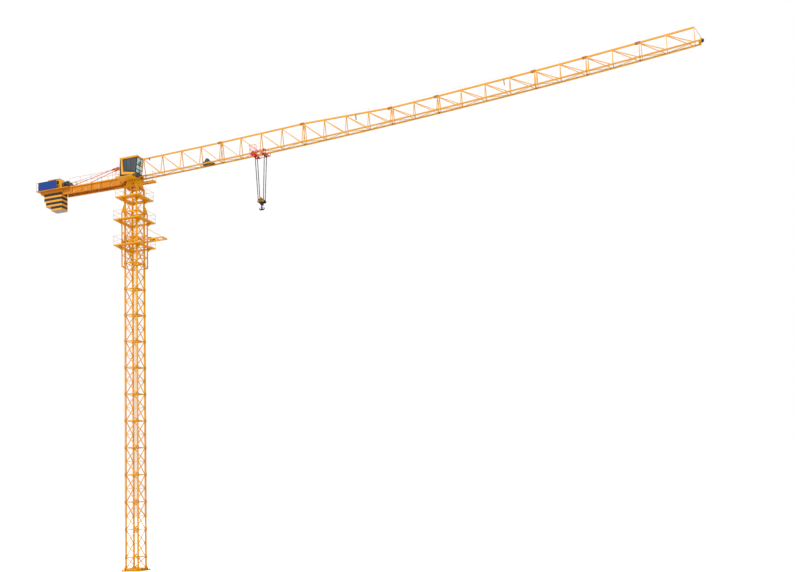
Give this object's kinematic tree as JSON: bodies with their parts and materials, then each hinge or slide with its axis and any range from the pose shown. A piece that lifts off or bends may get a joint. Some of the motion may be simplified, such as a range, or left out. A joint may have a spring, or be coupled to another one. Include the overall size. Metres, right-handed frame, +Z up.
{
  "type": "tower crane, 1:10 scale model",
  "caption": "Flat-top tower crane on a lattice mast, with a climbing cage, a cambered lattice jib, a counter-jib with ballast, a cab, a trolley and a ramshorn hook.",
  "frame": {"origin": "on the mast axis, in the plane of the base frame's underside", "axes": "+Z up along the mast; +X along the jib towards its tip; the cab is on the -Y side"},
  "size_m": [7.51, 0.404, 4.9837],
  "materials": {
    "ballast_paint": "yellow and navy painted bands on cast slabs",
    "blue_paint": "plain blue board",
    "cab_glass": "tinted glass",
    "cab_paint": "navy paint with a yellow band",
    "crane_paint": "semi-gloss orange-yellow paint",
    "dark_steel": "dark greased steel",
    "grey_paint": "grey machinery paint",
    "red_paint": "red paint",
    "wire_rope": "steel wire rope"
  },
  "bodies": {
    "tower": {"base_frame": "crane_paint", "cage_floor_1": "crane_paint", "cage_floor_2": "crane_paint", "cage_legs": "crane_paint", "cage_shoulders": "crane_paint", "cage_side_far": "crane_paint", "cage_side_front": "crane_paint", "cage_side_near": "crane_paint", "cage_side_rear": "crane_paint", "climbing_gear": "crane_paint", "feed_platform": "crane_paint", "head_floor": "crane_paint", "head_legs": "crane_paint", "head_sides": "crane_paint", "mast_ladder": "crane_paint", "mast_landings": "crane_paint", "mast_legs": "crane_paint", "mast_side_far": "crane_paint", "mast_side_front": "crane_paint", "mast_side_near": "crane_paint", "mast_side_rear": "crane_paint", "slewing_support": "crane_paint"},
    "upperworks": {"apex_frame": "crane_paint", "ballast_frame": "crane_paint", "ballast_slabs": "ballast_paint", "cab_brackets": "crane_paint", "cab_glass": "cab_glass", "cab_platform": "crane_paint", "cab_roof": "crane_paint", "cab_shell": "cab_paint", "control_cabinet": "crane_paint", "counter_crossbeams": "crane_paint", "counter_deck": "crane_paint", "counter_girder_far": "crane_paint", "counter_girder_near": "crane_paint", "counter_walkway": "crane_paint", "hoist_rope": "wire_rope", "hoist_winch": "grey_paint", "jib_chord_far": "crane_paint", "jib_chord_near": "crane_paint", "jib_face_far": "crane_paint", "jib_face_near": "crane_paint", "jib_floor_face": "crane_paint", "jib_tip": "crane_paint", "jib_top_chord": "crane_paint", "root_sheave": "dark_steel", "side_platform": "crane_paint", "sign_board": "blue_paint", "slewing_ring": "crane_paint", "tie_rods": "red_paint", "trolley_winch": "grey_paint", "turntable": "crane_paint"},
    "trolley": {"trolley_frame": "red_paint", "trolley_sheaves": "dark_steel", "trolley_wheels": "dark_steel"},
    "falls": {"hoist_falls": "wire_rope"},
    "hook_block": {"block_plates": "crane_paint", "block_sheaves": "crane_paint"},
    "hook": {"crane_hook": "dark_steel"}
  },
  "joints": [
    {"name": "slew", "type": "hinge", "parent": "tower", "child": "upperworks", "pos_m": [0, 0, 4.4163], "axis": [0, 0, 1], "continuous": true},
    {"name": "trolley_travel", "type": "hinge", "parent": "upperworks", "child": "trolley", "pos_m": [-1.67, 0, 83.43], "axis": [0, -1, 0], "range_deg": [-0.83, 3.19]},
    {"name": "falls_plumb", "type": "hinge", "parent": "trolley", "child": "falls", "pos_m": [1.614, 0, 4.46433], "axis": [0, -1, 0], "range_deg": [-3.24, 0.88]},
    {"name": "hoist", "type": "slide", "parent": "falls", "child": "hook_block", "axis": [0, 0, 1], "range_m": [-3.7, 0.3], "deforming": ["hoist_falls"]},
    {"name": "hook_swivel", "type": "hinge", "parent": "hook_block", "child": "hook", "pos_m": [1.614, 0, 3.90923], "axis": [0, 0, 1], "continuous": true}
  ],
  "couplings": [
    {"joint": "falls_plumb", "follows": "trolley_travel", "ratio": -1}
  ]
}
